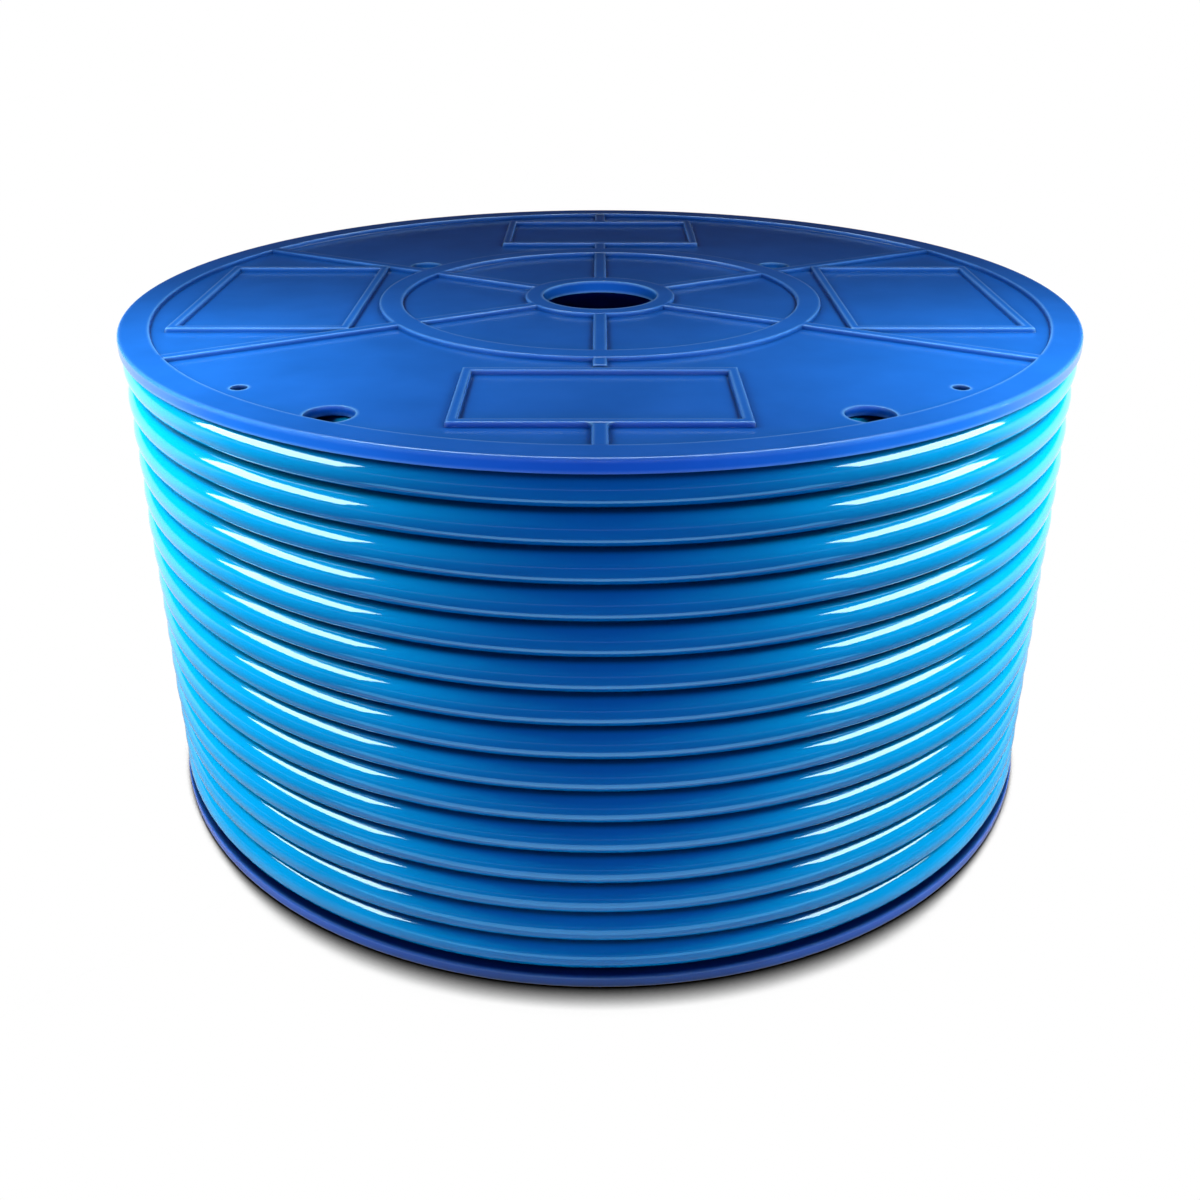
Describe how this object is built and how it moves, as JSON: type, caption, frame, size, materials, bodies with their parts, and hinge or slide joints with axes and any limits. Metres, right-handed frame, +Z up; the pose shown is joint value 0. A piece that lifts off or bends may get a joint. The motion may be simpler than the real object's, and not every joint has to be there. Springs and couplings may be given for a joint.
{
  "type": "reel of plastic tubing",
  "caption": "Plastic reel with two ribbed round flanges on a hollow barrel, a plain spindle bore, and a full winding of round glossy tubing.",
  "frame": {"origin": "centre of the lower flange's ribbed face, on the surface that the reel stands on", "axes": "+Z up along the spindle bore; the label frame with the stub rib and the rim tail holes of the upper flange faces -Y"},
  "size_m": [0.306, 0.306, 0.1587],
  "materials": {
    "flange_plastic": "injection moulded, satin",
    "barrel_plastic": "injection moulded, satin",
    "tubing": "extruded, glossy, slightly translucent"
  },
  "bodies": {
    "root": {"top_flange": "flange_plastic", "bottom_flange": "flange_plastic", "barrel": "barrel_plastic", "inner_layers": "tubing", "outer_layer": "tubing"}
  },
  "joints": []
}
